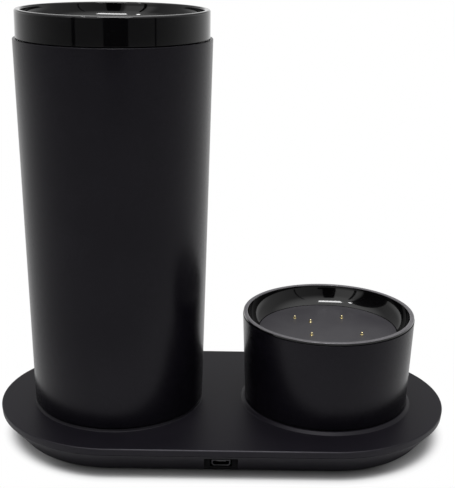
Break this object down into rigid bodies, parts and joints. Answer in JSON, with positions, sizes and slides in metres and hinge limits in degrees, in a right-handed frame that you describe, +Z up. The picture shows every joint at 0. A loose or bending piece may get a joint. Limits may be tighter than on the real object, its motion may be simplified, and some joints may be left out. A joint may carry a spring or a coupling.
{
  "type": "self heating mug with charging dock",
  "caption": "Tall tapered heated mug with a dished gloss lid, standing on a stadium shaped charging dock beside a round battery base with sprung contact pins.",
  "frame": {"origin": "on the surface that the dock stands on, under the middle of the dock", "axes": "+X runs from the mug's axis to the battery base's axis, -Y is the front with the charging socket, +Z is up"},
  "size_m": [0.193, 0.1022, 0.1813],
  "materials": {
    "mug_shell": "matte black with a fine satin sheen at grazing angles",
    "base_shell": "matte black with a fine satin sheen at grazing angles",
    "dock_coating": "soft matte black coating over moulded plastic",
    "lid_gloss": "polished piano black",
    "bowl_gloss": "polished black",
    "bowl_floor": "satin black",
    "foot_plastic": "finely textured black plastic",
    "foot_rubber": "matte rubber",
    "silicone": "grey silicone",
    "screw_steel": "zinc plated",
    "socket_steel": "drawn sheet steel",
    "cup_steel": "turned stainless steel",
    "gold_contact": "gold plated",
    "heater_aluminium": "machined",
    "cell_wrap": "satin pouch foil",
    "heating_film": "amber film with a metal track",
    "circuit_board": "green solder mask",
    "grey_nylon": "moulded nylon",
    "foam": "fine closed cell foam",
    "lead_insulation": "silicone insulated lead"
  },
  "bodies": {
    "dock": {"dock_top_cover": "dock_coating", "dock_bottom_pan": "dock_coating", "dock_foot_1": "foot_rubber", "dock_foot_2": "foot_rubber", "dock_foot_3": "foot_rubber", "dock_foot_4": "foot_rubber", "dock_screw_1": "screw_steel", "dock_screw_2": "screw_steel", "dock_screw_3": "screw_steel", "dock_screw_4": "screw_steel", "dock_circuit_board": "circuit_board", "socket_shell": "socket_steel", "socket_tongue": "grey_nylon"},
    "left_contacts": {"left_station_contacts": "gold_contact"},
    "right_contacts": {"right_station_contacts": "gold_contact"},
    "mug": {"mug_outer_shell": "mug_shell", "mug_inner_cup": "cup_steel", "cup_rim_seal": "silicone", "insulation_sleeve": "foam", "heater_plate": "heater_aluminium", "heating_film": "heating_film", "heater_insulation": "foam", "temperature_sensor": "grey_nylon", "heater_carrier": "grey_nylon", "heater_lead": "lead_insulation", "mug_control_board": "circuit_board", "mug_foot_cap": "foot_plastic", "mug_foot_screw_1": "screw_steel", "mug_foot_screw_2": "screw_steel", "mug_foot_screw_3": "screw_steel", "mug_contact_ring_inner": "gold_contact", "mug_contact_ring_middle": "gold_contact", "mug_contact_ring_outer": "gold_contact"},
    "lid": {"lid_shell": "lid_gloss", "lid_plug": "foot_plastic", "lid_seal": "silicone"},
    "slider": {"lid_slider": "lid_gloss", "slider_pad": "silicone"},
    "battery_base": {"base_outer_shell": "base_shell", "base_bowl": "bowl_gloss", "bowl_floor_plate": "bowl_floor", "base_pin_block": "grey_nylon", "base_control_board": "circuit_board", "battery_cell_lower": "cell_wrap", "battery_cell_upper": "cell_wrap", "cell_tray": "grey_nylon", "base_foot_cap": "foot_plastic", "base_foot_screw_1": "screw_steel", "base_foot_screw_2": "screw_steel", "base_foot_screw_3": "screw_steel", "base_contact_ring_inner": "gold_contact", "base_contact_ring_middle": "gold_contact", "base_contact_ring_outer": "gold_contact"},
    "bowl_pin_1": {"bowl_pin_1": "gold_contact"},
    "bowl_pin_2": {"bowl_pin_2": "gold_contact"},
    "bowl_pin_3": {"bowl_pin_3": "gold_contact"},
    "bowl_pin_4": {"bowl_pin_4": "gold_contact"},
    "bowl_pin_5": {"bowl_pin_5": "gold_contact"}
  },
  "joints": [
    {"name": "mug_lift", "type": "slide", "parent": "dock", "child": "mug", "axis": [0, 0, 1], "range_m": [0, 0.06]},
    {"name": "lid_lift", "type": "slide", "parent": "mug", "child": "lid", "axis": [0, 0, 1], "range_m": [0, 0.04]},
    {"name": "slider_travel", "type": "slide", "parent": "lid", "child": "slider", "axis": [0, -1, 0], "range_m": [0, 0.007]},
    {"name": "base_lift", "type": "slide", "parent": "dock", "child": "battery_base", "axis": [0, 0, 1], "range_m": [0, 0.06]},
    {"name": "bowl_pin_1_press", "type": "slide", "parent": "battery_base", "child": "bowl_pin_1", "axis": [0, 0, -1], "range_m": [0, 0.0009], "stiffness_N_per_m": 500, "springref_m": -0.0006},
    {"name": "bowl_pin_2_press", "type": "slide", "parent": "battery_base", "child": "bowl_pin_2", "axis": [0, 0, -1], "range_m": [0, 0.0009], "stiffness_N_per_m": 500, "springref_m": -0.0006},
    {"name": "bowl_pin_3_press", "type": "slide", "parent": "battery_base", "child": "bowl_pin_3", "axis": [0, 0, -1], "range_m": [0, 0.0009], "stiffness_N_per_m": 500, "springref_m": -0.0006},
    {"name": "bowl_pin_4_press", "type": "slide", "parent": "battery_base", "child": "bowl_pin_4", "axis": [0, 0, -1], "range_m": [0, 0.0009], "stiffness_N_per_m": 500, "springref_m": -0.0006},
    {"name": "bowl_pin_5_press", "type": "slide", "parent": "battery_base", "child": "bowl_pin_5", "axis": [0, 0, -1], "range_m": [0, 0.0009], "stiffness_N_per_m": 500, "springref_m": -0.0006},
    {"name": "left_contacts_press", "type": "slide", "parent": "dock", "child": "left_contacts", "axis": [0, 0, -1], "range_m": [0, 0.0009], "stiffness_N_per_m": 1500, "springref_m": -0.0006},
    {"name": "right_contacts_press", "type": "slide", "parent": "dock", "child": "right_contacts", "axis": [0, 0, -1], "range_m": [0, 0.0009], "stiffness_N_per_m": 1500, "springref_m": -0.0006}
  ]
}
